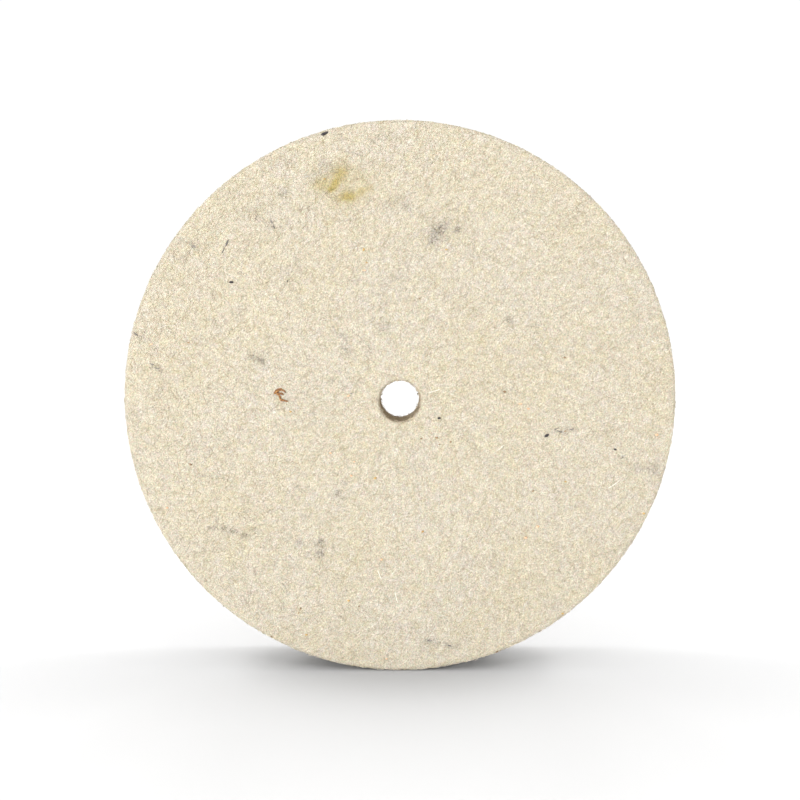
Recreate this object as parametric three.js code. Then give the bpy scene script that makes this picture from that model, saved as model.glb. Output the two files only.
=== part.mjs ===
// Hard wool felt polishing wheel, 6 in across and 3/4 in thick, with a bore for a half-inch spindle.
//
// The wheel is one blank cut from a sheet of pressed wool felt. It has no hub, bush or flange of
// its own: a machine's two flanges clamp its faces and the machine's spindle passes through it.
//
// Units are millimetres. The origin is the middle of the wheel, +Y is the axis that it spins about
// and +Z is up. The wheel stands on its rim, with its front face towards -Y.

import * as THREE from 'three';

// Driving dimensions.
const INCH = 25.4;
const WHEEL_DIAMETER = 6 * INCH;
const WHEEL_THICKNESS = 0.75 * INCH;
const BORE_DIAMETER = 11.55; // punched a little under half an inch, for a tight fit on the spindle
const RIM_EDGE_RADIUS = 1.2; // the corner between the rim and each face, rubbed round in handling
const BORE_EDGE_RADIUS = 0.5; // the corner at each mouth of the bore

// How finely the round shapes are divided.
const FACETS_AROUND = 120;
const STEPS_PER_EDGE = 3;

const FELT = { color: 0xe5d9c1, roughness: 0.95, metalness: 0 };

// Points of a quarter circle about (centreR, centreY) in the half-plane of radius and axis.
// The angle is measured from the radial direction, and both ends are included.
function roundedCorner(centreR, centreY, radius, fromAngle) {
  const points = [];
  for (let step = 0; step <= STEPS_PER_EDGE; step += 1) {
    const angle = fromAngle + (step / STEPS_PER_EDGE) * (Math.PI / 2);
    const r = centreR + radius * Math.cos(angle);
    const y = centreY + radius * Math.sin(angle);
    points.push(new THREE.Vector2(r, y));
  }
  return points;
}

// The wheel's section: up the rim, in across the back face, down the bore and out again across
// the front face, closed on itself, with a rounded corner at each of its four turns.
function feltSection() {
  const rimR = WHEEL_DIAMETER / 2 - RIM_EDGE_RADIUS;
  const rimY = WHEEL_THICKNESS / 2 - RIM_EDGE_RADIUS;
  const boreR = BORE_DIAMETER / 2 + BORE_EDGE_RADIUS;
  const boreY = WHEEL_THICKNESS / 2 - BORE_EDGE_RADIUS;
  const section = [
    ...roundedCorner(rimR, -rimY, RIM_EDGE_RADIUS, -Math.PI / 2),
    ...roundedCorner(rimR, rimY, RIM_EDGE_RADIUS, 0),
    ...roundedCorner(boreR, boreY, BORE_EDGE_RADIUS, Math.PI / 2),
    ...roundedCorner(boreR, -boreY, BORE_EDGE_RADIUS, Math.PI),
  ];
  section.push(section[0].clone());
  return section;
}

// The felt blank, turned about +Y, with the middle of one facet straight down for it to stand on.
function feltWheel() {
  const halfFacet = Math.PI / FACETS_AROUND;
  const geometry = new THREE.LatheGeometry(feltSection(), FACETS_AROUND, halfFacet, 2 * Math.PI);
  const wheel = new THREE.Mesh(geometry, new THREE.MeshStandardMaterial(FELT));
  wheel.name = 'felt_wheel';
  return wheel;
}

const polishingWheel = new THREE.Group();
polishingWheel.add(feltWheel());

export default polishingWheel;
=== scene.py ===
"""The looks of a hard wool felt polishing wheel.

One closed felt blank stands for the CAD wheel. Thousands of short curled wool fibres lie in its
surface, and flecks and hairs of other colours and one scrap of plant burr are caught among them.

Every shape is worked out in millimetres, and mesh_piece turns it into metres. The wheel's axis is Y,
its front face looks along -Y, and angles round the wheel are counted from straight up.
"""

import math

import bpy
import numpy as np
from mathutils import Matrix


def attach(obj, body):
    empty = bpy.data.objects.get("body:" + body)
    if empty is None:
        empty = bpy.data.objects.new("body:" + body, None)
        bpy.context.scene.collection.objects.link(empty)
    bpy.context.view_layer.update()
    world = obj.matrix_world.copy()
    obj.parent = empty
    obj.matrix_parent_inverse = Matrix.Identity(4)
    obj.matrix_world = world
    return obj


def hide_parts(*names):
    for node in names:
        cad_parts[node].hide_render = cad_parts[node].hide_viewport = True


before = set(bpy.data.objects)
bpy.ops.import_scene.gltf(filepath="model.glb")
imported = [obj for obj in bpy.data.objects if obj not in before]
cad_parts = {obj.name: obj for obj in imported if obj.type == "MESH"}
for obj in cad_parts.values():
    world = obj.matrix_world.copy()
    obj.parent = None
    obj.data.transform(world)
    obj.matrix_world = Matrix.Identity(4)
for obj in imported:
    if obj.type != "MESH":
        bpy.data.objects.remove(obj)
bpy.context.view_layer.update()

MM = 0.001
FULL_TURN = 2 * math.pi
FRONT = -1
BACK = 1


# ---------------------------------------------------------------- the wheel's own sizes, in mm

def node_points(name):
    """The corners of a CAD node, in mm."""
    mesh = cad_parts[name].data
    flat = np.empty(len(mesh.vertices) * 3)
    mesh.vertices.foreach_get("co", flat)
    return flat.reshape(-1, 3) / MM


wheel_points = node_points("felt_wheel")
wheel_radii = np.hypot(wheel_points[:, 0], wheel_points[:, 2])
RIM_R = wheel_radii.max()
BORE_R = wheel_radii.min()
HALF_T = wheel_points[:, 1].max()
RIM_EDGE = 1.2
BORE_EDGE = 0.3
FACE_INNER_R = BORE_R + BORE_EDGE
FACE_OUTER_R = RIM_R - RIM_EDGE
WEB_ANGLE = 53  # the lean from +X, in degrees, of most of the fleece in the sheet

# The felt's relief, in mm.
PRESSING_LENGTH = 17
PRESSING_HEIGHT = 0.04
RIPPLE_LENGTH = 6
RIPPLE_HEIGHT = 0.012
COARSE_CLUMP = 1.5
FINE_CLUMP = 0.8
CLUMP_GAIN = 0.75
CLUMP_HEIGHT = 0.15
CUT_FELT_RELIEF = 0.2  # how much of the relief is left where the felt has been cut
BORE_SHADE_DEPTH = 0.16  # how far into the felt round the bore its painted shade reaches
BORE_SHADE_FADE = 0.5
BLANK_SPACING = 0.75  # between the felt blank's points along its section
BLANK_COLUMNS = 640

FACE_LOTS = 3
FACE_LOT_FIBRES = 6400
RIM_LOTS = 2
RIM_LOT_FIBRES = 5000
BORE_FIBRES = 400
FIBRE_STATIONS = 5
FIBRE_SIDES = 3
TUCK = 0.05  # how deep a fibre's ends dip into the felt, in mm
BACK_SMUDGE_COUNT = 20


def rounded_corner(centre_r, centre_y, radius, from_lean):
    """A quarter circle from from_lean: rows of radius, y and the lean of the outward normal."""
    lean = from_lean + np.linspace(0, math.pi / 2, 13)
    return np.stack([centre_r + radius * np.cos(lean), centre_y + radius * np.sin(lean), lean], 1)


def wheel_section():
    """The section's line, closed on itself: the arc length, radius, y and normal's lean of its points.

    It runs out across the front face, over the rim, in across the back face and through the bore.
    The straight stretches need no points of their own between the four rounded corners.
    """
    rim_y = HALF_T - RIM_EDGE
    bore_y = HALF_T - BORE_EDGE
    start = np.array([[FACE_INNER_R, -HALF_T, -math.pi / 2]])
    line = np.concatenate([
        start,
        rounded_corner(FACE_OUTER_R, -rim_y, RIM_EDGE, -math.pi / 2),
        rounded_corner(FACE_OUTER_R, rim_y, RIM_EDGE, 0),
        rounded_corner(FACE_INNER_R, bore_y, BORE_EDGE, math.pi / 2),
        rounded_corner(FACE_INNER_R, -bore_y, BORE_EDGE, math.pi),
    ])
    steps = np.hypot(*np.diff(line[:, :2], axis=0).T)
    return np.concatenate([[0], np.cumsum(steps)]), *line.T


SECTION_S, SECTION_R, SECTION_Y, SECTION_LEAN = wheel_section()
SECTION_LENGTH = SECTION_S[-1]
CORNER_ARC = math.pi / 2 * RIM_EDGE
FACE_WIDTH = FACE_OUTER_R - FACE_INNER_R
RIM_MIDDLE_S = FACE_WIDTH + CORNER_ARC + HALF_T - RIM_EDGE
BACK_END_S = 2 * RIM_MIDDLE_S
BORE_MIDDLE_S = (BACK_END_S + SECTION_LENGTH) / 2


def skin(s, angle, lift):
    """Points at lift over the wheel's plain skin, and the skin's normals there.

    s is the arc length along the section from the bore end of the front face. The section's point is
    moved by lift along its normal and turned by angle about the wheel's axis.
    """
    s = np.mod(s, SECTION_LENGTH)
    lean = np.interp(s, SECTION_S, SECTION_LEAN)
    r = np.interp(s, SECTION_S, SECTION_R) + lift * np.cos(lean)
    y = np.interp(s, SECTION_S, SECTION_Y) + lift * np.sin(lean)
    points = np.stack([r * np.sin(angle), y, r * np.cos(angle)], -1)
    normals = np.stack([np.cos(lean) * np.sin(angle), np.sin(lean), np.cos(lean) * np.cos(angle)], -1)
    return points, normals


def face_place(side):
    """Turns places (x, z) on a face into s and angle. Past the face's edges they run over the corners."""
    def place(x, z):
        s = np.hypot(x, z) - FACE_INNER_R
        return (s if side == FRONT else BACK_END_S - s), np.arctan2(x, z)
    return place


def rim_place(around, y):
    """Turns a length round the rim and a y into s and angle."""
    return RIM_MIDDLE_S + y, around / RIM_R


def bore_place(around, y):
    """Turns a length round the bore's wall and a y into s and angle."""
    return BORE_MIDDLE_S - y, around / BORE_R


# ---------------------------------------------------------------- noise and the felt's relief

def lattice_noise(points, cell, seed):
    """Smooth noise from -1 to 1: a random value at each corner of a cubic lattice of that cell, blended
    between the corners by 3t^2 - 2t^3 along each axis."""
    place = points / cell
    corner = np.floor(place).astype(np.int64)
    t = place - corner
    t = t * t * (3 - 2 * t)
    total = np.zeros(points.shape[:-1])
    for step in np.ndindex(2, 2, 2):
        near = corner + np.array(step)
        mixed = near[..., 0] * 73856093 ^ near[..., 1] * 19349663 ^ near[..., 2] * 83492791
        mixed = (mixed + seed * 2654435761) & 0xFFFFFFFF
        mixed = ((mixed ^ (mixed >> 15)) * 2246822519) & 0xFFFFFFFF
        mixed = ((mixed ^ (mixed >> 13)) * 3266489917) & 0xFFFFFFFF
        value = ((mixed ^ (mixed >> 16)) & 0xFFFF) / 0x7FFF - 1
        weight = np.prod(np.where(np.array(step) == 1, t, 1 - t), axis=-1)
        total += weight * value
    return total


def clumping(points):
    """How high a place is in the felt's clumps, 0 to 1: the size of a smooth noise, which makes round
    clumps with creases between them where the noise passes through zero."""
    coarse = np.abs(lattice_noise(points, COARSE_CLUMP, 3))
    fine = np.abs(lattice_noise(points, FINE_CLUMP, 4))
    return np.clip(CLUMP_GAIN * coarse + CLUMP_GAIN * fine, 0, 1)


def felt_relief(points):
    """The felt's height over its plain skin, in mm: broad waves from pressing, plus ripples, plus its
    clumps, all weaker where the knife has cut the rim and the punch has cut the bore."""
    pressing = PRESSING_HEIGHT * lattice_noise(points, PRESSING_LENGTH, 1)
    ripples = RIPPLE_HEIGHT * lattice_noise(points, RIPPLE_LENGTH, 2)
    clumps = CLUMP_HEIGHT * (clumping(points) - 0.5)
    r = np.hypot(points[..., 0], points[..., 2])
    uncut = np.clip((FACE_OUTER_R - r) / 1.5, 0, 1) * np.clip((r - FACE_INNER_R) / 0.8, 0, 1)
    return (pressing + ripples + clumps) * (CUT_FELT_RELIEF + (1 - CUT_FELT_RELIEF) * uncut)


# ---------------------------------------------------------------- what marks the felt
# A soft mark is an oval on a face: x, z, half length and half width in mm, the tilt of its length from
# +X in degrees, and its strength.

YELLOW_STAINS = (
    (-16.5, 61.2, 3.8, 2.4, 56, 0.85),
    (-17.6, 59.0, 2.6, 1.5, 60, 1.2),
    (-18.7, 57.6, 1.4, 1.0, 30, 1.2),
    (-20.6, 58.8, 3.0, 2.2, 20, 0.65),
    (-14.2, 55.6, 3.3, 1.8, 5, 1.05),
    (-10.6, 56.8, 3.3, 1.6, 28, 0.70),
    (-15.6, 58.4, 7.6, 4.6, 15, 0.32),
)
SOOT_SMUDGES = (
    (10.4, 46.4, 2.5, 2.0, 40, 0.95),
    (12.1, 48.2, 1.9, 1.3, 45, 0.8),
    (9.3, 44.4, 2.0, 1.4, 50, 0.8),
    (13.0, 44.6, 1.6, 1.0, 0, 0.4),
    (15.8, 46.9, 1.1, 0.9, 10, 1.2),
    (-1.2, 54.6, 2.0, 1.3, 0, 0.45),
    (2.0, 52.7, 2.4, 1.4, -45, 0.3),
    (-3.9, 52.7, 1.5, 0.8, 20, 0.3),
    (6.4, 50.6, 1.4, 1.0, 60, 0.3),
    (-5.9, 29.5, 0.8, 0.8, 0, 0.6),
    (-2.6, 33.1, 3.0, 1.0, 48, 0.3),
    (30.0, 22.2, 1.5, 1.1, -30, 0.65),
    (20.9, 24.9, 1.6, 1.2, 0, 0.4),
    (-4.0, 20.7, 1.8, 1.4, 50, 0.5),
    (-16.3, 18.4, 1.8, 0.8, -30, 0.55),
    (-14.4, 13.7, 2.0, 1.7, 40, 0.5),
    (-19.4, 5.8, 1.5, 0.6, 20, 0.45),
    (-7.1, -19.5, 0.8, 0.6, 0, 0.5),
    (-40.5, 12.4, 1.0, 0.9, 30, 0.75),
    (-38.3, 11.3, 1.6, 0.9, -30, 0.9),
    (-39.4, 12.0, 2.8, 1.6, -30, 0.35),
    (-26.6, 2.5, 1.2, 1.0, 0, 0.35),
    (-23.9, -2.2, 1.2, 0.6, 90, 0.3),
    (-32.4, 56.2, 1.8, 1.0, 20, 0.6),
    (-30.7, 64.4, 2.4, 1.4, 10, 0.35),
    (-22.9, 61.4, 3.0, 1.8, 0, 0.4),
    (-20.1, 63.9, 2.0, 1.4, 0, 0.45),
    (-40.0, 51.3, 4.0, 3.0, 20, 0.3),
    (-45.9, 56.4, 3.0, 2.0, 10, 0.2),
    (-34.5, 48.1, 2.2, 0.5, -65, 0.75),
    (-59.4, 43.9, 1.6, 1.0, 0, 0.3),
    (-56.0, 42.2, 1.9, 0.6, -35, 0.8),
    (-58.7, 39.5, 1.6, 0.8, 15, 0.45),
    (-58.0, 32.0, 2.0, 1.2, 0, 0.2),
    (-51.0, 43.0, 1.6, 0.5, 0, 0.3),
    (-72.2, 18.4, 1.2, 0.5, -35, 0.9),
    (-70.3, 17.3, 1.2, 0.6, -40, 0.4),
    (-68.0, 10.2, 0.7, 0.5, 0, 0.5),
    (-66.6, 9.1, 1.6, 0.8, -15, 0.55),
    (-52.0, -35.4, 1.7, 0.7, 0, 0.65),
    (-49.2, -35.5, 1.5, 0.7, 0, 0.9),
    (-46.7, -36.1, 1.3, 0.7, -10, 0.95),
    (-43.1, -37.4, 1.6, 0.8, -20, 0.95),
    (-40.6, -35.9, 1.4, 0.9, 10, 0.65),
    (-28.3, -39.1, 1.1, 1.0, 0, 0.75),
    (-22.1, -39.6, 1.4, 0.9, 85, 1.15),
    (-22.2, -42.4, 1.3, 1.1, 90, 1.15),
    (-24.0, -39.8, 0.8, 0.7, 0, 0.4),
    (-17.4, -25.6, 1.3, 0.8, 20, 0.8),
    (-15.7, -26.8, 1.8, 1.2, -20, 0.35),
    (-51.2, -21.4, 1.3, 1.0, 90, 0.3),
    (43.2, -7.8, 1.2, 0.5, 20, 0.6),
    (44.6, -8.6, 0.9, 0.6, 0, 0.8),
    (47.4, -7.8, 1.5, 0.6, 0, 0.5),
    (57.9, -9.7, 1.6, 1.0, -60, 0.3),
    (61.6, -15.6, 1.3, 1.0, 0, 0.55),
    (66.7, -18.6, 3.6, 1.4, -15, 0.35),
    (70.8, -18.6, 2.2, 2.0, 90, 0.5),
    (8.6, -67.4, 1.8, 0.6, 5, 0.9),
    (10.8, -68.2, 1.4, 0.5, -20, 0.6),
    (13.7, -68.8, 1.5, 0.5, -15, 0.8),
    (16.2, -69.1, 1.0, 0.5, 0, 0.5),
    (26.4, -43.1, 1.2, 1.0, 0, 0.3),
    (-4.5, 71.4, 3.0, 1.6, 0, 0.3),
    (-30.0, 34.0, 4.0, 3.0, 0, 0.15),
    (38.0, 14.0, 6.0, 3.0, 20, 0.12),
)


# A stroke is something caught in the felt: x, z, half length, half width and tilt, as for a soft mark,
# and the side of the wheel that it lies on.
BLACK_FLECKS = (
    (-20.3, 72.3, 1.00, 0.46, 22, FRONT),
    (-46.0, 32.6, 0.60, 0.38, 3, FRONT),
    (40.5, -9.4, 0.66, 0.40, 28, FRONT),
    (59.5, -13.3, 0.46, 0.30, -15, FRONT),
    (10.8, -4.6, 0.44, 0.36, 0, FRONT),
    (-30.7, 32.9, 0.28, 0.18, 60, FRONT),
)
BROWN_FLECKS = (
    (45.2, 12.1, 0.34, 0.26, 0, FRONT),
    (45.6, -8.2, 0.40, 0.24, 10, FRONT),
    (28.8, 2.7, 0.52, 0.26, -15, FRONT),
    (-58.0, -17.5, 0.42, 0.24, -30, FRONT),
    (-58.0, 16.2, 0.36, 0.20, 0, FRONT),
    (5.3, 28.2, 0.26, 0.20, 0, FRONT),
    (5.9, -10.3, 0.28, 0.22, 0, FRONT),
    (10.1, -10.0, 0.38, 0.26, 0, FRONT),
    (14.0, -11.2, 0.28, 0.22, 0, FRONT),
    (10.9, -11.9, 0.26, 0.22, 0, FRONT),
    (36.9, -24.9, 0.32, 0.22, 20, FRONT),
    (-11.5, -57.5, 0.26, 0.22, 0, FRONT),
    (-27.9, -58.2, 0.36, 0.20, 55, FRONT),
    (-28.4, -59.4, 0.30, 0.18, 65, FRONT),
    (-36.1, -66.2, 0.34, 0.20, -50, FRONT),
    (27.3, -70.7, 0.50, 0.22, 15, FRONT),
)
AMBER_FLECKS = (
    (-30.2, -2.8, 0.34, 0.24, -30, FRONT),
    (-9.9, 41.4, 0.40, 0.28, 70, FRONT),
    (12.6, 41.4, 0.34, 0.26, 0, FRONT),
    (-9.1, 37.9, 0.26, 0.20, 0, FRONT),
    (-6.9, -21.3, 0.42, 0.30, 20, FRONT),
    (45.9, -22.3, 0.30, 0.26, 0, FRONT),
    (67.8, -31.2, 0.38, 0.28, 0, FRONT),
    (-14.4, -55.9, 0.34, 0.26, 0, FRONT),
    (-26.3, -65.7, 0.36, 0.28, 0, FRONT),
    (6.3, -36.3, 0.38, 0.26, 20, FRONT),
    (45.6, -59.6, 0.36, 0.24, 0, FRONT),
    (-20.4, 60.3, 0.30, 0.22, 0, FRONT),
)
PEACH_FLECKS = (
    (70.9, -9.2, 0.46, 0.36, 0, FRONT),
    (35.4, -2.0, 0.36, 0.26, 0, FRONT),
    (33.2, -0.6, 0.50, 0.22, 0, FRONT),
    (35.0, -38.0, 0.42, 0.36, 0, FRONT),
    (38.3, -34.9, 0.50, 0.36, 20, FRONT),
    (-5.2, -44.2, 0.38, 0.30, 0, FRONT),
    (-3.8, -72.6, 0.34, 0.24, 0, FRONT),
    (-64.7, -29.6, 0.36, 0.28, 0, FRONT),
    (-68.2, 15.7, 0.44, 0.22, 10, FRONT),
    (-9.7, 35.8, 0.44, 0.22, 0, FRONT),
    (-19.2, -14.3, 0.36, 0.26, -30, FRONT),
    (-12.7, -16.7, 0.30, 0.26, 0, FRONT),
    (-13.5, -20.6, 0.40, 0.26, -20, FRONT),
    (-14.2, 1.6, 0.40, 0.30, 20, FRONT),
)
# A burr's stalk is its route in x, z. The two stalks cross where the burr is thickest.
BURR_STALKS = (
    ((-34.4, 2.5), (-34.0, 3.1), (-33.2, 3.3), (-32.2, 3.1), (-31.5, 2.5)),
    ((-34.3, 2.9), (-33.6, 2.1), (-33.0, 1.2), (-32.9, 0.5), (-32.0, 0.3), (-30.9, 0.0)),
    ((-34.0, 1.9), (-33.4, 2.0), (-32.8, 2.2), (-32.0, 1.8)),
    ((-34.6, 2.1), (-34.2, 2.6), (-33.7, 2.8), (-33.3, 2.5)),
)
BURR_RADIUS = 0.33
BORE_SPECK = (math.radians(79) * BORE_R, HALF_T - 0.6)  # round the bore's wall, and y
DARK_HAIRS = (
    (-47.1, 43.1, 1.15, 0.16, 63, FRONT),
    (-48.1, 41.2, 0.80, 0.11, 68, FRONT),
    (-56.0, 42.2, 0.60, 0.12, -35, FRONT),
    (-72.4, 18.5, 0.80, 0.13, -38, FRONT),
    (-68.0, 10.2, 0.50, 0.10, -25, FRONT),
    (-66.8, 9.1, 0.80, 0.10, -15, FRONT),
    (-34.9, 49.0, 0.50, 0.10, -60, FRONT),
    (-34.2, 47.4, 0.50, 0.10, -70, FRONT),
    (44.0, -8.3, 0.80, 0.10, -25, FRONT),
    (43.2, -7.6, 0.60, 0.10, 20, FRONT),
    (47.4, -7.7, 0.70, 0.10, 10, FRONT),
    (-13.4, 2.2, 0.30, 0.10, 0, FRONT),
    (8.3, -67.4, 0.60, 0.12, 0, FRONT),
    (13.9, -68.8, 0.50, 0.12, -10, FRONT),
)
PALE_HAIRS = (
    (9.5, 2.9, 1.80, 0.12, 16, FRONT),
    (27.9, -12.8, 1.30, 0.09, 40, FRONT),
    (59.4, -23.0, 2.20, 0.11, 35, FRONT),
    (-5.7, -48.5, 1.60, 0.11, -70, FRONT),
    (-1.0, -55.1, 1.70, 0.11, -78, FRONT),
)


def back_face_marks():
    """Smudges for the back face, scattered evenly by a seeded draw, with the sizes of the front's."""
    rng = np.random.default_rng(901)
    count = BACK_SMUDGE_COUNT
    r = np.sqrt(rng.uniform(FACE_INNER_R ** 2, FACE_OUTER_R ** 2, count))
    a = rng.uniform(0, FULL_TURN, count)
    return np.stack([r * np.sin(a), r * np.cos(a), rng.uniform(1.2, 3.2, count),
                     rng.uniform(0.6, 1.8, count), rng.uniform(-60, 60, count),
                     rng.uniform(0.3, 0.9, count)], 1)


BACK_SMUDGES = back_face_marks()


def soft_marks(points, marks, side):
    """The strongest of the marks at each place on a face: strength times exp(-(u^2 + w^2)), with u and w
    the place along and across the oval over its half sizes."""
    strongest = np.zeros(len(points))
    for x, z, half_long, half_wide, tilt, strength in marks:
        turn = math.radians(tilt)
        dx = points[:, 0] - x
        dz = points[:, 2] - z
        u = (dx * math.cos(turn) + dz * math.sin(turn)) / half_long
        w = (dz * math.cos(turn) - dx * math.sin(turn)) / half_wide
        strongest = np.maximum(strongest, strength * np.exp(-u * u - w * w))
    return strongest * (points[:, 1] * side > 0)


def bore_painted_shade(points):
    """How much painted shade darkens the felt round the bore, 0 to 1: full on the bore's wall, and gone
    before the rounding of its mouths, with a ragged edge."""
    past_wall = np.hypot(points[:, 0], points[:, 2]) - BORE_R
    depth = HALF_T - np.abs(points[:, 1])
    ragged = 0.4 * lattice_noise(points, 0.8, 11)
    return np.clip(1 - past_wall / BORE_SHADE_DEPTH, 0, 1) * np.clip((depth + 0.1 + ragged) / BORE_SHADE_FADE, 0, 1)


# ---------------------------------------------------------------- meshes

def mesh_piece(name, points, faces, material, values):
    """A smooth shaded object at the origin from points in mm and an array of faces, all with the same
    number of corners. values holds, under each name that a material reads, one number for each point."""
    mesh = bpy.data.meshes.new(name)
    corners = faces.shape[1]
    mesh.vertices.add(len(points))
    mesh.vertices.foreach_set("co", (points * MM).astype(np.float32).ravel())
    mesh.loops.add(faces.size)
    mesh.loops.foreach_set("vertex_index", faces.astype(np.int32).ravel())
    mesh.polygons.add(len(faces))
    mesh.polygons.foreach_set("loop_start", np.arange(0, faces.size, corners, dtype=np.int32))
    mesh.update(calc_edges=True)
    mesh.shade_smooth()
    for word, numbers in values.items():
        mesh.attributes.new(word, "FLOAT", "POINT").data.foreach_set("value", numbers.astype(np.float32))
    mesh.materials.append(material)
    piece = bpy.data.objects.new(name, mesh)
    bpy.context.scene.collection.objects.link(piece)
    return piece


def felt_values(points, tint, hue):
    """The numbers that every wool material reads, at each point."""
    return {
        "tint": tint,
        "hue": hue,
        "yellow": soft_marks(points, YELLOW_STAINS, FRONT),
        "soot": soft_marks(points, SOOT_SMUDGES, FRONT) + soft_marks(points, BACK_SMUDGES, BACK),
        # the painted shade of the bore's wall
        "bore_shade": bore_painted_shade(points),
    }


def ring_faces(rows, columns):
    """Quads between a grid's points where both of its directions close on themselves."""
    row, column = np.meshgrid(np.arange(rows), np.arange(columns), indexing="ij")
    next_row = (row + 1) % rows
    next_column = (column + 1) % columns
    quads = [row * columns + column, row * columns + next_column,
             next_row * columns + next_column, next_row * columns + column]
    return np.stack(quads, -1).reshape(-1, 4)


def felt_blank(material):
    """The felt itself: the wheel's closed section turned once about Y, with every point moved along the
    skin's normal by the felt's relief."""
    rows = round(SECTION_LENGTH / BLANK_SPACING)
    columns = BLANK_COLUMNS
    s, angle = np.meshgrid(
        np.arange(rows) * SECTION_LENGTH / rows, np.arange(columns) * FULL_TURN / columns, indexing="ij"
    )
    plain, _ = skin(s.ravel(), angle.ravel(), 0)
    points, _ = skin(s.ravel(), angle.ravel(), felt_relief(plain))
    # the blank's tint is its clump height, which the felt material turns into painted shade in the creases
    return mesh_piece("felt_blank", points, ring_faces(rows, columns), material,
                      felt_values(plain, clumping(plain), 0.5 + 0.5 * lattice_noise(plain, 0.9, 12)))


def tube_faces(count, stations, sides):
    """Triangles of count tubes, each with its rings' points first and then its two end points."""
    ring = np.arange(sides)
    after = (ring + 1) % sides
    step = np.arange(stations - 1)[:, None] * sides
    wall = np.concatenate([
        np.stack([step + ring, step + sides + after, step + after], -1).reshape(-1, 3),
        np.stack([step + ring, step + sides + ring, step + sides + after], -1).reshape(-1, 3),
    ])
    first_end = stations * sides
    last_ring = (stations - 1) * sides
    ends = np.concatenate([
        np.stack([ring, after, np.full(sides, first_end)], -1),
        np.stack([last_ring + after, last_ring + ring, np.full(sides, first_end + 1)], -1),
    ])
    one = np.concatenate([wall, ends])
    start = np.arange(count) * (stations * sides + 2)
    return (start[:, None, None] + one).reshape(-1, 3)


def tubes(centres, normals, radii, sides, flatness=1.0):
    """Closed tubes along centres, an array of tubes by stations by 3. A ring's point is its centre plus
    the radius times (cos a of the sideways direction + flatness times sin a of the skin's normal)."""
    along = np.gradient(centres, axis=1)
    along /= np.linalg.norm(along, axis=2, keepdims=True)
    sideways = np.cross(along, normals)
    sideways /= np.linalg.norm(sideways, axis=2, keepdims=True)
    upward = np.cross(sideways, along)
    a = np.arange(sides) / sides * FULL_TURN + math.pi / 2
    rings = centres[:, :, None] + radii[:, :, None, None] * (
        np.cos(a)[:, None] * sideways[:, :, None] + flatness * np.sin(a)[:, None] * upward[:, :, None]
    )
    first_end = centres[:, :1] - radii[:, :1, None] * along[:, :1]
    last_end = centres[:, -1:] + radii[:, -1:, None] * along[:, -1:]
    count, stations = centres.shape[:2]
    points = np.concatenate([rings.reshape(count, stations * sides, 3), first_end, last_end], 1)
    return points.reshape(-1, 3), tube_faces(count, stations, sides)


def per_point(values, stations, sides):
    """A value for each tube, or for each of its stations, repeated for the points of the tube."""
    values = np.broadcast_to(values.reshape(len(values), -1), (len(values), stations))
    rings = np.repeat(values, sides, axis=1)
    return np.concatenate([rings, values[:, :1], values[:, -1:]], 1).ravel()


def curled_fibres(name, material, place, roots, heading, length, radius, rng, free_ends=0.1, rise=0.7):
    """Wool fibres lying in the skin. A fibre's heading turns steadily along it, with a wave on top, and
    its path is the running sum of steps in that heading, centred on its root. It dips into the felt at
    both ends and arches between them, but a share of them, free_ends, lift their far end instead."""
    count = len(roots)
    t = np.linspace(0, 1, FIBRE_STATIONS)
    turn = rng.normal(0, 1.1, (count, 1))
    wave = rng.normal(0, 0.55, (count, 1))
    phase = rng.uniform(0, FULL_TURN, (count, 1))
    bearing = heading[:, None] + turn * t + wave * np.sin(FULL_TURN * 1.3 * t + phase)
    step = length[:, None] / (FIBRE_STATIONS - 1)
    u = np.cumsum(step * np.cos(bearing), axis=1)
    v = np.cumsum(step * np.sin(bearing), axis=1)
    u += roots[:, :1] - u.mean(1, keepdims=True)
    v += roots[:, 1:] - v.mean(1, keepdims=True)
    s, angle = place(u, v)
    plain, normals = skin(s, angle, 0)
    arch = rng.uniform(0.04, 0.20, (count, 1)) * np.sin(math.pi * t) - TUCK
    free = (rng.random((count, 1)) < free_ends) * rng.uniform(0.3, 1, (count, 1)) * rise
    lift = felt_relief(plain) + np.where(free > 0, free * t ** 1.5 - TUCK, arch)
    centres, _ = skin(s, angle, lift)
    taper = 0.45 + 0.55 * np.sin(math.pi * np.clip(t, 0.12, 0.88))
    points, faces = tubes(centres, normals, radius[:, None] * taper, FIBRE_SIDES)
    tint = per_point(rng.random(count), FIBRE_STATIONS, FIBRE_SIDES)
    hue = per_point(rng.random(count), FIBRE_STATIONS, FIBRE_SIDES)
    return mesh_piece(name, points, faces, material, felt_values(points, tint, hue))


def drawn_heading(count, rng):
    """Headings of fibres: just over half of them lean with the carded web that the felt was laid from,
    and the rest lie any way."""
    any_way = rng.uniform(0, FULL_TURN, count)
    with_web = np.radians(rng.normal(WEB_ANGLE, 22, count))
    return np.where(rng.random(count) < 0.55, with_web, any_way)


def face_fibres(side, part, material):
    """One of the lots of a face's fibres. The roots of all the lots together lie on a sunflower spiral,
    where each is the golden angle on from the one before and the square of its radius grows evenly."""
    rng = np.random.default_rng(100 * part + (7 if side == FRONT else 8))
    count = FACE_LOT_FIBRES
    number = part + FACE_LOTS * np.arange(count)
    share = (number + 0.5) / (FACE_LOTS * count)
    r = np.sqrt(FACE_INNER_R ** 2 + share * ((RIM_R - 0.3) ** 2 - FACE_INNER_R ** 2))
    a = number * math.pi * (3 - math.sqrt(5))
    roots = np.stack([r * np.sin(a), r * np.cos(a)], 1) + rng.normal(0, 0.22, (count, 2))
    length = rng.gamma(5, 0.62, count) + 0.8
    radius = rng.uniform(0.035, 0.085, count)
    word = "front" if side == FRONT else "back"
    return curled_fibres(f"wool_{word}_{part}", material, face_place(side), roots,
                         drawn_heading(count, rng), length, radius, rng, free_ends=0.06, rise=0.5)


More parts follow.
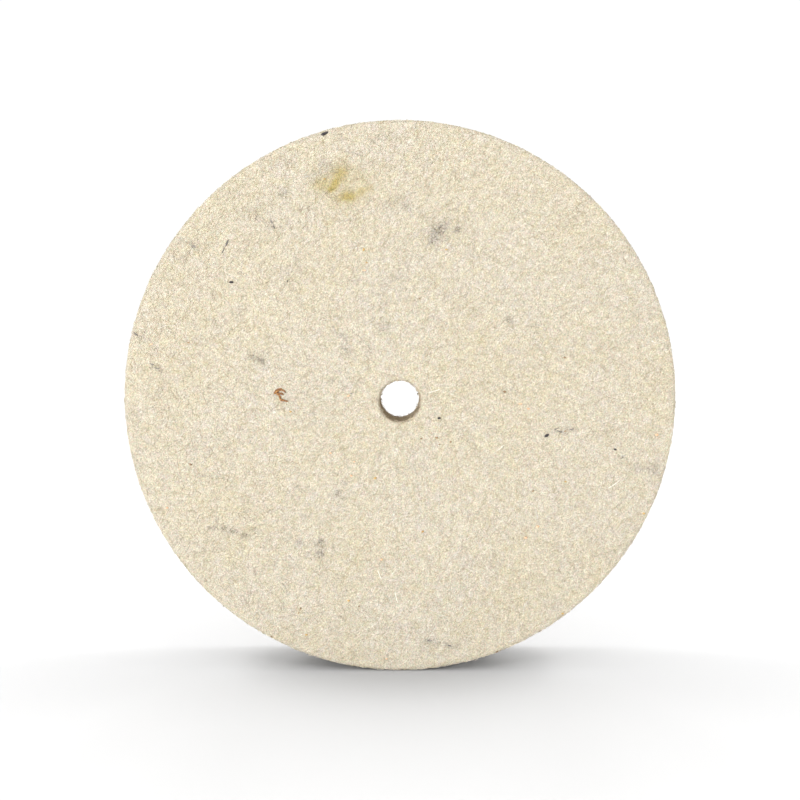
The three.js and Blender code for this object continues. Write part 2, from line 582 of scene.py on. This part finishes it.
def rim_fibres(part, material):
    """The fibres of the cut rim. The knife has cut them short, and more of them stand proud."""
    rng = np.random.default_rng(300 + part)
    count = RIM_LOT_FIBRES
    roots = np.stack([rng.uniform(0, FULL_TURN * RIM_R, count), rng.uniform(-HALF_T, HALF_T, count)], 1)
    heading = rng.uniform(0, FULL_TURN, count)
    length = rng.gamma(4, 0.45, count) + 0.6
    radius = rng.uniform(0.04, 0.09, count)
    return curled_fibres(f"wool_rim_{part}", material, rim_place, roots, heading, length, radius, rng,
                         free_ends=0.10, rise=0.45)


def bore_fibres(material):
    """Fibres standing off the bore's wall, most of them at its two mouths; those close to the wall take
    the bore's painted shade.
    """
    rng = np.random.default_rng(401)
    count = BORE_FIBRES
    y = HALF_T * np.sign(rng.uniform(-1, 1, count)) * rng.beta(5, 1.2, count)
    roots = np.stack([rng.uniform(0, FULL_TURN * BORE_R, count), y], 1)
    return curled_fibres("wool_bore", material, bore_place, roots, rng.uniform(0, FULL_TURN, count),
                         rng.uniform(0.6, 2.2, count), rng.uniform(0.04, 0.09, count), rng,
                         free_ends=0.45, rise=0.7)


def bore_speck(material):
    """A dark tuft caught in the bore's wall near its back mouth, on the +X side."""
    rng = np.random.default_rng(402)
    count = 5
    roots = np.array([BORE_SPECK]) + rng.normal(0, 0.09, (count, 2))
    return curled_fibres("bore_speck", material, bore_place, roots, rng.uniform(0, FULL_TURN, count),
                         np.full(count, 0.7), np.full(count, 0.20), rng, free_ends=1.0)


def lying_strokes(name, material, strokes, stations, bend, plump):
    """Flecks or hairs lying in a face, from the tables of strokes. A stroke's centreline is an arc that
    turns by bend in all, and its radius follows the half ellipse sqrt(1 - q^2) if it is plump, or an
    even hair's 1 - q^8 if not."""
    x, z, half_long, half_wide, tilt, side = np.array(strokes, float).T[:, :, None]
    q = np.linspace(-0.96, 0.96, stations)
    bearing = np.radians(tilt) + bend * q / 2
    step = half_long * (q[1] - q[0])
    u = np.cumsum(step * np.cos(bearing), axis=1)
    v = np.cumsum(step * np.sin(bearing), axis=1)
    u += x - u.mean(1, keepdims=True)
    v += z - v.mean(1, keepdims=True)
    front_s, angle = face_place(FRONT)(u, v)
    s = np.where(side == FRONT, front_s, BACK_END_S - front_s)
    plain, normals = skin(s, angle, 0)
    profile = np.sqrt(1 - q * q) if plump else 1 - q ** 8
    lumps = 1 + 0.25 * lattice_noise(plain, 0.5, 21)
    radii = half_wide * profile * lumps
    centres, _ = skin(s, angle, felt_relief(plain) + 0.10 + 0.2 * half_wide)
    points, faces = tubes(centres, normals, radii, 6, flatness=0.7)
    return mesh_piece(name, points, faces, material, {})


def stray_strokes(count, rng, smallest, largest, slimness):
    """Strokes scattered over the back face, as a face that isn't picked clean has them."""
    r = np.sqrt(rng.uniform(FACE_INNER_R ** 2, FACE_OUTER_R ** 2, count))
    a = rng.uniform(0, FULL_TURN, count)
    half_long = rng.uniform(smallest, largest, count)
    return np.stack([r * np.sin(a), r * np.cos(a), half_long, half_long * slimness,
                     rng.uniform(0, 180, count), np.full(count, BACK)], 1).tolist()


def dark_wool(side, smudges, material):
    """Dark fibres of the fleece, felted in where a face is smudged: for each smudge, some fibres with
    their roots in its oval and their headings near its tilt."""
    rng = np.random.default_rng(501 if side == FRONT else 502)
    roots = []
    heading = []
    for x, z, half_long, half_wide, tilt, strength in smudges:
        count = round(2.4 * half_long * half_wide * strength ** 2)
        turn = math.radians(tilt)
        along = rng.normal(0, 0.5 * half_long, count)
        across = rng.normal(0, 0.5 * half_wide, count)
        roots.append(np.stack([x + along * math.cos(turn) - across * math.sin(turn),
                               z + along * math.sin(turn) + across * math.cos(turn)], 1))
        heading.append(rng.normal(turn, 0.7, count))
    roots = np.concatenate(roots)
    count = len(roots)
    word = "front" if side == FRONT else "back"
    return curled_fibres(f"dark_wool_{word}", material, face_place(side), roots, np.concatenate(heading),
                         rng.uniform(0.4, 1.3, count), rng.uniform(0.04, 0.09, count), rng,
                         free_ends=0.0)


def burr(material):
    """A curled scrap of plant burr: each stalk's route is bent smoothly by a cubic through its points,
    and its radius swells and shrinks along it by a seeded noise."""
    stations = 17
    routes = []
    for route in BURR_STALKS:
        knots = np.array(route)
        t = np.linspace(0, len(knots) - 1, stations)
        step = np.minimum(t.astype(int), len(knots) - 2)
        f = (t - step)[:, None]
        padded = np.concatenate([2 * knots[:1] - knots[1:2], knots, 2 * knots[-1:] - knots[-2:-1]])
        before, a, b, after = (padded[step + n] for n in range(4))
        routes.append(0.5 * (2 * a + (b - before) * f + (2 * before - 5 * a + 4 * b - after) * f ** 2
                             + (3 * a - before - 3 * b + after) * f ** 3))
    place = np.array(routes)
    s, angle = face_place(FRONT)(place[..., 0], place[..., 1])
    plain, normals = skin(s, angle, 0)
    q = np.linspace(-1, 1, stations)
    radii = BURR_RADIUS * (0.35 + 0.65 * np.sqrt(1 - q ** 2)) * (1 + 0.5 * lattice_noise(plain, 0.45, 22))
    centres, _ = skin(s, angle, 0.22 + 0.10 * lattice_noise(plain, 0.8, 23))
    points, faces = tubes(centres, normals, radii, 8)
    return mesh_piece("burr", points, faces, material, {})


# ---------------------------------------------------------------- materials

def link(tree, source, target):
    tree.links.new(source, target)


def value_node(tree, operation, *inputs):
    """A Math node; an input is a socket or a number. Returns its result."""
    node = tree.nodes.new("ShaderNodeMath")
    node.operation = operation
    for number, given in enumerate(inputs):
        if isinstance(given, bpy.types.NodeSocket):
            link(tree, given, node.inputs[number])
        else:
            node.inputs[number].default_value = given
    return node.outputs[0]


def colour_mix(tree, factor, low, high, blend="MIX"):
    """A Mix node for colours; factor, low and high are sockets or constants. Returns its result."""
    node = tree.nodes.new("ShaderNodeMix")
    node.data_type = "RGBA"
    node.blend_type = blend
    for socket, given in ((node.inputs[0], factor), (node.inputs[6], low), (node.inputs[7], high)):
        if isinstance(given, bpy.types.NodeSocket):
            link(tree, given, socket)
        elif isinstance(given, tuple):
            socket.default_value = (*given, 1)
        else:
            socket.default_value = given
    return node.outputs[2]


def noise_node(tree, place, per_mm, detail=2.0, roughness=0.5, distortion=0.0):
    """Noise with per_mm lumps to the millimetre. Returns its value, which is about 0.5 on average."""
    node = tree.nodes.new("ShaderNodeTexNoise")
    link(tree, place, node.inputs["Vector"])
    node.inputs["Scale"].default_value = per_mm
    node.inputs["Detail"].default_value = detail
    node.inputs["Roughness"].default_value = roughness
    node.inputs["Distortion"].default_value = distortion
    return node.outputs["Fac"]


def spread(tree, value, low, high):
    """value stretched so that low becomes 0 and high becomes 1, and cut off there."""
    node = tree.nodes.new("ShaderNodeMapRange")
    link(tree, value, node.inputs["Value"])
    node.inputs["From Min"].default_value = low
    node.inputs["From Max"].default_value = high
    return node.outputs["Result"]


def attribute(tree, word):
    node = tree.nodes.new("ShaderNodeAttribute")
    node.attribute_name = word
    return node.outputs["Fac"]


def object_mm(tree):
    """The place on the piece, in mm."""
    coordinates = tree.nodes.new("ShaderNodeTexCoord")
    scale = tree.nodes.new("ShaderNodeVectorMath")
    scale.operation = "SCALE"
    scale.inputs["Scale"].default_value = 1 / MM
    link(tree, coordinates.outputs["Object"], scale.inputs[0])
    return scale.outputs[0]


def new_group(name, inputs, outputs):
    """A node group with its inputs and outputs given as (name, socket type) and default values."""
    group = bpy.data.node_groups.new(name, "ShaderNodeTree")
    for word, kind, default in inputs:
        socket = group.interface.new_socket(name=word, in_out="INPUT", socket_type=kind)
        if default is not None:
            socket.default_value = default
    for word, kind in outputs:
        group.interface.new_socket(name=word, in_out="OUTPUT", socket_type=kind)
    return group, group.nodes.new("NodeGroupInput"), group.nodes.new("NodeGroupOutput")


def wool_colour_group():
    """Turns a wool's own colour into the colour it shows: broad warm and grey tones of the fleece, its
    ruddy patches, the hue of each fibre and a speckle combed along the web, and then grey dirt, the
    yellow stain and painted shade on the bore's wall, each by its mask."""
    colour, number = "NodeSocketColor", "NodeSocketFloat"
    group, given, out = new_group(
        "wool_colour",
        [("Wool", colour, (0.75, 0.66, 0.5, 1)), ("Place", "NodeSocketVector", None),
         ("Hue", number, 0.5), ("Yellow", number, 0.0), ("Soot", number, 0.0), ("Bore_shade", number, 0.0)],
        [("Colour", colour)],
    )
    place = given.outputs["Place"]
    warm = spread(group, noise_node(group, place, 0.040, 3.0, 0.5), 0.40, 0.62)
    tone = colour_mix(group, warm, (1.0, 1.0, 1.0), (0.998, 0.990, 0.955))
    shown = colour_mix(group, 1.0, given.outputs["Wool"], tone, "MULTIPLY")
    grey = spread(group, noise_node(group, place, 0.16, 3.0, 0.55), 0.55, 0.75)
    tone = colour_mix(group, grey, (1.0, 1.0, 1.0), (0.986, 0.989, 0.992))
    shown = colour_mix(group, 1.0, shown, tone, "MULTIPLY")
    ruddy = spread(group, noise_node(group, place, 2.6, 1.0), 0.34, 0.66)
    tone = colour_mix(group, ruddy, (0.94, 1.006, 1.0), (1.065, 0.972, 1.0))
    shown = colour_mix(group, 1.0, shown, tone, "MULTIPLY")
    tone = colour_mix(group, given.outputs["Hue"], (1.0, 1.0, 0.86), (1.0, 1.0, 1.085))
    shown = colour_mix(group, 1.0, shown, tone, "MULTIPLY")
    combed = group.nodes.new("ShaderNodeMapping")
    combed.vector_type = "TEXTURE"
    combed.inputs["Rotation"].default_value = (0, -math.radians(WEB_ANGLE), 0)
    combed.inputs["Scale"].default_value = (2.1, 2.0, 1)
    link(group, place, combed.inputs["Vector"])
    speckle = spread(group, noise_node(group, combed.outputs["Vector"], 6.4, 2.5, 0.8), 0.32, 0.68)
    tone = colour_mix(group, speckle, (0.48, 0.45, 0.415), (1.19, 1.22, 1.22))
    shown = colour_mix(group, 1.0, shown, tone, "MULTIPLY")

    dust = spread(group, noise_node(group, place, 3.4, 1.0), 0.62, 0.40)
    dust = value_node(group, "MULTIPLY_ADD", dust, 1.2, 0.15)
    damp = value_node(group, "MULTIPLY_ADD", speckle, 0.7, 0.6)
    stains = (("Soot", (0.53, 0.515, 0.535), dust), ("Yellow", (0.735, 0.66, 0.34), damp))
    for socket, stained, patchy in stains:
        mask = value_node(group, "MULTIPLY", given.outputs[socket], patchy)
        deep = colour_mix(group, 1.0, shown, stained, "MULTIPLY")
        shown = colour_mix(group, value_node(group, "MINIMUM", mask, 1.0), shown, deep)
    # painted shade: the felt of the bore's wall is multiplied by (0.94, 0.88, 0.83) by its mask
    bore_shaded = colour_mix(group, 1.0, shown, (0.94, 0.88, 0.83), "MULTIPLY")
    shown = colour_mix(group, given.outputs["Bore_shade"], shown, bore_shaded)
    link(group, shown, out.inputs["Colour"])
    return group


def new_material(name):
    material = bpy.data.materials.new(name)
    material.use_nodes = True
    tree = material.node_tree
    return material, tree, tree.nodes["Principled BSDF"]


def wool_shown(tree, wool, colour_group):
    """The wool colour group's output for a wool colour, with the masks from the piece's attributes."""
    node = tree.nodes.new("ShaderNodeGroup")
    node.node_tree = colour_group
    link(tree, wool, node.inputs["Wool"])
    link(tree, object_mm(tree), node.inputs["Place"])
    for word in ("hue", "yellow", "soot", "bore_shade"):
        link(tree, attribute(tree, word), node.inputs[word.capitalize()])
    return node.outputs["Colour"]


def felt_material(colour_group):
    """Pressed felt: a net of pale fibres over darker gaps, with painted shade in the creases between the
    clumps; the gaps' darkness is partly the wool's own colour and partly painted shade. The net's height
    drives the bump."""
    material, tree, shader = new_material("pressed_felt")
    place = object_mm(tree)
    net = noise_node(tree, place, 1.5, 4.0, 0.7, 0.6)
    strands = value_node(tree, "ABSOLUTE", value_node(tree, "SUBTRACT", net, 0.5))
    strands = spread(tree, strands, 0.09, 0.0)
    # painted shade in the creases: low clump height gives a darker colour
    depth = value_node(tree, "MULTIPLY", attribute(tree, "tint"), 0.28)
    raised = value_node(tree, "ADD", value_node(tree, "MULTIPLY", strands, 0.58), depth)
    # the low colour is the gaps', partly the wool's own colour and partly painted shade between fibres
    wool = colour_mix(tree, raised, (0.54, 0.475, 0.37), (0.91, 0.86, 0.745))
    link(tree, wool_shown(tree, wool, colour_group), shader.inputs["Base Color"])
    link(tree, spread(tree, raised, 1.4, -0.6), shader.inputs["Roughness"])
    bump = tree.nodes.new("ShaderNodeBump")
    bump.inputs["Strength"].default_value = 0.6
    bump.inputs["Distance"].default_value = 0.15 * MM
    link(tree, strands, bump.inputs["Height"])
    link(tree, bump.outputs["Normal"], shader.inputs["Normal"])
    shader.inputs["Specular IOR Level"].default_value = 0.0
    return material


def fibre_material(name, dull, bright, colour_group):
    """Loose wool: each fibre's colour lies between two, by its own random tint."""
    material, tree, shader = new_material(name)
    wool = colour_mix(tree, attribute(tree, "tint"), dull, bright)
    link(tree, wool_shown(tree, wool, colour_group), shader.inputs["Base Color"])
    shader.inputs["Roughness"].default_value = 0.8
    shader.inputs["Specular IOR Level"].default_value = 0.0
    return material


def scrap_material(name, dull, bright, roughness, patches_per_mm=1.4):
    """A scrap caught in the felt: its colour wanders between two, and its surface is finely pitted."""
    material, tree, shader = new_material(name)
    place = object_mm(tree)
    patch = spread(tree, noise_node(tree, place, patches_per_mm, 3.0, 0.6), 0.38, 0.62)
    link(tree, colour_mix(tree, patch, dull, bright), shader.inputs["Base Color"])
    bump = tree.nodes.new("ShaderNodeBump")
    bump.inputs["Strength"].default_value = 0.5
    bump.inputs["Distance"].default_value = 0.05 * MM
    link(tree, noise_node(tree, place, 6.0, 2.0), bump.inputs["Height"])
    link(tree, bump.outputs["Normal"], shader.inputs["Normal"])
    shader.inputs["Roughness"].default_value = roughness
    shader.inputs["Specular IOR Level"].default_value = 0.3
    return material


# ---------------------------------------------------------------- the stage

def lamp(name, kind, energy, place, turn, spread=None):
    """A light at a place in metres, pointing down until it is tipped by turn, in degrees. A sun tips
    about X and then Y, and has a spread. An area light tips about X and then Z."""
    light = bpy.data.objects.new(name, bpy.data.lights.new(name, kind))
    light.data.energy = energy
    light.location = place
    if kind == "SUN":
        light.data.angle = math.radians(spread)
        light.rotation_euler = (math.radians(turn[0]), math.radians(turn[1]), 0)
    else:
        light.rotation_euler = (math.radians(turn[0]), 0, math.radians(turn[1]))
    bpy.context.scene.collection.objects.link(light)
    return light


FLOOR_HALF = 3.0  # in metres
# The lights over the floor, in mirrored pairs: tip about X, lean about Y, strength and spread.
OVERHEAD_PAIRS = (
    (-24, 62, 3.0, 40),
    (0, 42, 1.8, 40),
    (-60, 25, 1.25, 16),
    (25, 70, 2.6, 16),
    (-5, 32, 1.25, 12),
)


def studio(camera_rise=3.65, camera_distance=207.0, lens=33.8):
    """A white tent with a soft key from the upper left, overhead lights that fall on the floor alone,
    and the camera a little above the wheel's axis."""
    world = bpy.data.worlds.new("white_tent")
    world.use_nodes = True
    background = world.node_tree.nodes["Background"]
    background.inputs["Color"].default_value = (1.0, 1.0, 1.0, 1)
    background.inputs["Strength"].default_value = 1.03
    bpy.context.scene.world = world
    bpy.context.scene.view_settings.view_transform = "Standard"

    half = FLOOR_HALF
    mesh = bpy.data.meshes.new("floor")
    z = -RIM_R * MM
    mesh.from_pydata([(-half, -half, z), (half, -half, z), (half, half, z), (-half, half, z)], [],
                     [(0, 1, 2, 3)])
    floor = bpy.data.objects.new("floor", mesh)
    bpy.context.scene.collection.objects.link(floor)
    paper, _, shader = new_material("white_paper")
    shader.inputs["Base Color"].default_value = (0.22, 0.22, 0.22, 1)
    shader.inputs["Roughness"].default_value = 0.9
    shader.inputs["Specular IOR Level"].default_value = 0.0
    mesh.materials.append(paper)

    floor_only = bpy.data.collections.new("floor_only")
    floor_only.objects.link(floor)
    overhead = [lamp("overhead_sky", "SUN", 2.8, (0, 0, 1), (0, 0), spread=150)]
    for tip, lean, strength, spread in OVERHEAD_PAIRS:
        for side in (-1, 1):
            overhead.append(lamp("overhead", "SUN", strength, (0, 0, 1), (tip, side * lean), spread))
    for light in overhead:
        light.light_linking.receiver_collection = floor_only

    softbox = lamp("softbox", "AREA", 11.6, (-0.50, -1.17, 0.09), (86.0, -23.1))
    softbox.data.size = 0.32

    rise = math.radians(camera_rise)
    camera_data = bpy.data.cameras.new("camera")
    camera_data.lens = lens
    camera_data.clip_start = 0.01
    camera_data.shift_y = 0.0018
    camera = bpy.data.objects.new("camera", camera_data)
    camera.location = (0, -(HALF_T + camera_distance * math.cos(rise)) * MM,
                       camera_distance * math.sin(rise) * MM)
    camera.rotation_euler = (math.pi / 2 - rise, 0, 0)
    bpy.context.scene.collection.objects.link(camera)
    bpy.context.scene.camera = camera


# ---------------------------------------------------------------- the wheel

def finish_piece(piece):
    """Every piece rides on the wheel's one body."""
    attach(piece, "root")


def add_scraps():
    """The flecks, hairs and burr on the front face, and a seeded scatter of the like on the back."""
    rng = np.random.default_rng(902)
    kinds = (
        ("black_flecks", (0.02, 0.018, 0.022), (0.075, 0.065, 0.065), 0.6, BLACK_FLECKS, 9, 0.3, 0.7, 0.6),
        ("brown_flecks", (0.20, 0.12, 0.065), (0.40, 0.27, 0.16), 0.7, BROWN_FLECKS, 12, 0.25, 0.5, 0.7),
        ("amber_flecks", (0.42, 0.25, 0.08), (0.66, 0.45, 0.18), 0.6, AMBER_FLECKS, 10, 0.22, 0.38, 0.7),
        ("peach_flecks", (0.74, 0.44, 0.26), (0.88, 0.62, 0.42), 0.7, PEACH_FLECKS, 12, 0.3, 0.48, 0.7),
        ("dark_hairs", (0.10, 0.095, 0.10), (0.24, 0.22, 0.22), 0.6, DARK_HAIRS, 6, 0.9, 2.2, 0.06),
        ("pale_hairs", (0.84, 0.80, 0.70), (0.92, 0.89, 0.80), 0.5, PALE_HAIRS, 8, 1.2, 2.6, 0.05),
    )
    for name, dull, bright, roughness, strokes, strays, smallest, largest, slimness in kinds:
        material = scrap_material(name, dull, bright, roughness)
        every = list(strokes) + stray_strokes(strays, rng, smallest, largest, slimness)
        if name.endswith("hairs"):
            finish_piece(lying_strokes(name, material, every, stations=13, bend=0.4, plump=False))
        else:
            finish_piece(lying_strokes(name, material, every, stations=7, bend=0.3, plump=True))
    finish_piece(burr(scrap_material("burr", (0.085, 0.022, 0.018), (0.50, 0.26, 0.085), 0.6, 2.6)))


def build():
    studio()
    colour_group = wool_colour_group()
    felt = felt_material(colour_group)
    fibre = fibre_material("loose_wool", (0.67, 0.60, 0.475), (0.985, 0.95, 0.865), colour_group)
    dark_fibre = fibre_material("dark_wool", (0.22, 0.20, 0.19), (0.50, 0.46, 0.42), colour_group)

    blank = felt_blank(felt)
    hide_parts("felt_wheel")
    finish_piece(blank)

    for part in range(FACE_LOTS):
        finish_piece(face_fibres(FRONT, part, fibre))
        finish_piece(face_fibres(BACK, part, fibre))
    for part in range(RIM_LOTS):
        finish_piece(rim_fibres(part, fibre))
    finish_piece(bore_fibres(fibre))
    bore_dirt = scrap_material("bore_dirt", (0.05, 0.045, 0.045), (0.14, 0.125, 0.12), 0.7)
    finish_piece(bore_speck(bore_dirt))
    finish_piece(dark_wool(FRONT, SOOT_SMUDGES, dark_fibre))
    finish_piece(dark_wool(BACK, BACK_SMUDGES, dark_fibre))
    add_scraps()


build()
